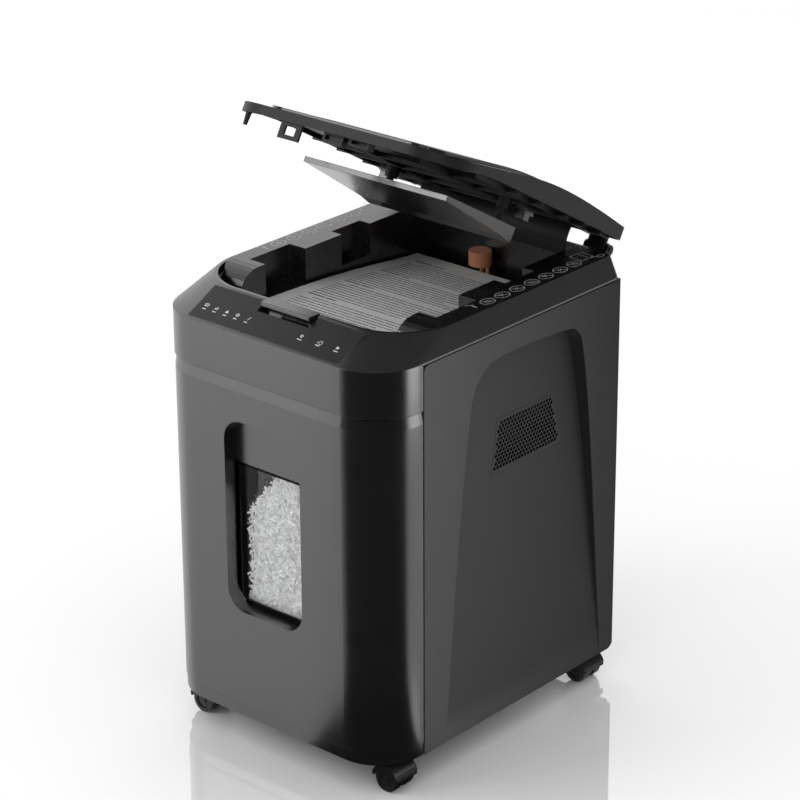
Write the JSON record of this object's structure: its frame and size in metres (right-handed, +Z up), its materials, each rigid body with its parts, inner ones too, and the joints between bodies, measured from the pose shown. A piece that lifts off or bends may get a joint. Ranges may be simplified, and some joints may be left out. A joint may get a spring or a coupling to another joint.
{
  "type": "paper shredder",
  "caption": "Free-standing auto-feed paper shredder on casters, with its lid open over the paper tray, a sprung press plate and a pull-out bin with a window.",
  "frame": {"origin": "on the floor under the middle of the whole outline, open lid included, 11.4 mm behind the middle of the body", "axes": "+Z up, +X to the right seen from the front, the front with the bin window faces -Y"},
  "size_m": [0.33, 0.4198, 0.7001],
  "materials": {
    "housing": "satin dark charcoal",
    "side_plastic": "fine matte grain",
    "grille": "matte",
    "steel_parts": "bright zinc plated",
    "panel_film": "smooth film",
    "board": "lacquered board",
    "tray_plastic": "satin black",
    "paper": "printed office paper",
    "copper_plastic": "copper-coloured gloss",
    "inner_plastic": "satin black",
    "cutter_steel": "oiled hardened steel",
    "motor_paint": "painted",
    "roller_rubber": "ribbed rubber",
    "clear_window": "clear glossy",
    "shreds": "loose paper shreds",
    "gloss_black": "gloss black",
    "caster_plastic": "black",
    "wheel_plastic": "black"
  },
  "bodies": {
    "body": {"base_tray": "housing", "side_panel_left": "side_plastic", "side_panel_right": "side_plastic", "vent_grille_left": "grille", "vent_grille_right": "grille", "rear_panel": "side_plastic", "panel_screws": "steel_parts", "head_housing": "housing", "control_panel": "panel_film", "control_board": "board", "paper_tray": "tray_plastic", "tray_guides": "tray_plastic", "paper_stack": "paper", "paper_stop": "copper_plastic", "lid_switch": "inner_plastic", "cutter_frame_left": "steel_parts", "cutter_frame_right": "steel_parts", "tie_rods": "steel_parts", "scraper_bars": "inner_plastic", "motor": "motor_paint", "gearbox_cover": "steel_parts", "mech_deck": "inner_plastic", "bin_rails": "inner_plastic", "bin_switch": "inner_plastic", "power_inlet": "inner_plastic", "hinge_brackets": "inner_plastic", "caster_sockets": "inner_plastic"},
    "latch": {"latch_pad": "housing"},
    "lid": {"lid_cover": "housing", "lid_top_panel": "gloss_black", "lid_inner_panel": "inner_plastic", "plate_guides": "inner_plastic", "spring_brackets": "inner_plastic", "striker_loop": "inner_plastic", "latch_catch": "inner_plastic", "lid_switch_prong": "inner_plastic", "hinge_knuckles": "inner_plastic"},
    "press": {"press_plate": "inner_plastic", "plate_pins": "steel_parts"},
    "bin": {"bin_front": "housing", "bin_window": "clear_window", "bin_bucket": "inner_plastic", "shred_pile": "shreds"},
    "cutter_b": {"cutter_rear": "cutter_steel", "rear_gears": "cutter_steel"},
    "cutter_a": {"cutter_front": "cutter_steel", "front_gears": "cutter_steel"},
    "idler": {"idler_gear": "cutter_steel"},
    "pinion": {"motor_pinion": "cutter_steel"},
    "feeder": {"feed_shaft": "steel_parts", "feed_rollers": "roller_rubber"},
    "rocker": {"rocker_switch": "inner_plastic"},
    "swivel_left_front": {"caster_hood_left_front": "caster_plastic"},
    "wheels_left_front": {"caster_wheels_left_front": "wheel_plastic"},
    "swivel_left_rear": {"caster_hood_left_rear": "caster_plastic"},
    "wheels_left_rear": {"caster_wheels_left_rear": "wheel_plastic"},
    "swivel_right_front": {"caster_hood_right_front": "caster_plastic"},
    "wheels_right_front": {"caster_wheels_right_front": "wheel_plastic"},
    "swivel_right_rear": {"caster_hood_right_rear": "caster_plastic"},
    "wheels_right_rear": {"caster_wheels_right_rear": "wheel_plastic"}
  },
  "joints": [
    {"name": "lid_hinge", "type": "hinge", "parent": "body", "child": "lid", "pos_m": [0, 0.20264, 0.508], "axis": [1, 0, 0], "range_deg": [-48, 29.8]},
    {"name": "press_plate_slide", "type": "slide", "parent": "lid", "child": "press", "axis": [0, 0.506, 0.8625], "range_m": [0, 0.014], "stiffness_N_per_m": 250, "springref_m": -0.02},
    {"name": "latch_press", "type": "slide", "parent": "body", "child": "latch", "axis": [0, 0, -1], "range_m": [0, 0.0025], "stiffness_N_per_m": 600, "springref_m": -0.002},
    {"name": "bin_slide", "type": "slide", "parent": "body", "child": "bin", "axis": [0, -1, 0], "range_m": [0, 0.33]},
    {"name": "cutter_rear_spin", "type": "hinge", "parent": "body", "child": "cutter_b", "pos_m": [0, 0.00514, 0.414], "axis": [1, 0, 0], "continuous": true},
    {"name": "cutter_front_spin", "type": "hinge", "parent": "body", "child": "cutter_a", "pos_m": [0, -0.02786, 0.414], "axis": [1, 0, 0], "continuous": true},
    {"name": "idler_spin", "type": "hinge", "parent": "body", "child": "idler", "pos_m": [0.13, 0.04864, 0.414], "axis": [1, 0, 0], "continuous": true},
    {"name": "motor_spin", "type": "hinge", "parent": "body", "child": "pinion", "pos_m": [0.13, 0.09139, 0.414], "axis": [1, 0, 0], "continuous": true},
    {"name": "feed_spin", "type": "hinge", "parent": "body", "child": "feeder", "pos_m": [0, -0.02786, 0.45], "axis": [1, 0, 0], "continuous": true},
    {"name": "rocker_tilt", "type": "hinge", "parent": "body", "child": "rocker", "pos_m": [-0.1, 0.18464, 0.116], "axis": [1, 0, 0], "range_deg": [0, 11]},
    {"name": "swivel_left_front", "type": "hinge", "parent": "body", "child": "swivel_left_front", "pos_m": [-0.137, -0.17136, 0.035], "axis": [0, 0, 1], "continuous": true},
    {"name": "wheels_left_front", "type": "hinge", "parent": "swivel_left_front", "child": "wheels_left_front", "pos_m": [-0.129, -0.17136, 0.0145], "axis": [0, 1, 0], "continuous": true},
    {"name": "swivel_left_rear", "type": "hinge", "parent": "body", "child": "swivel_left_rear", "pos_m": [-0.137, 0.15664, 0.035], "axis": [0, 0, 1], "continuous": true},
    {"name": "wheels_left_rear", "type": "hinge", "parent": "swivel_left_rear", "child": "wheels_left_rear", "pos_m": [-0.129, 0.15664, 0.0145], "axis": [0, 1, 0], "continuous": true},
    {"name": "swivel_right_front", "type": "hinge", "parent": "body", "child": "swivel_right_front", "pos_m": [0.137, -0.17136, 0.035], "axis": [0, 0, 1], "continuous": true},
    {"name": "wheels_right_front", "type": "hinge", "parent": "swivel_right_front", "child": "wheels_right_front", "pos_m": [0.145, -0.17136, 0.0145], "axis": [0, 1, 0], "continuous": true},
    {"name": "swivel_right_rear", "type": "hinge", "parent": "body", "child": "swivel_right_rear", "pos_m": [0.137, 0.15664, 0.035], "axis": [0, 0, 1], "continuous": true},
    {"name": "wheels_right_rear", "type": "hinge", "parent": "swivel_right_rear", "child": "wheels_right_rear", "pos_m": [0.145, 0.15664, 0.0145], "axis": [0, 1, 0], "continuous": true}
  ],
  "couplings": [
    {"joint": "cutter_front_spin", "follows": "cutter_rear_spin", "ratio": -1},
    {"joint": "idler_spin", "follows": "cutter_rear_spin", "ratio": -2.2222},
    {"joint": "motor_spin", "follows": "cutter_rear_spin", "ratio": 5.2288},
    {"joint": "feed_spin", "follows": "cutter_rear_spin", "ratio": 1}
  ]
}
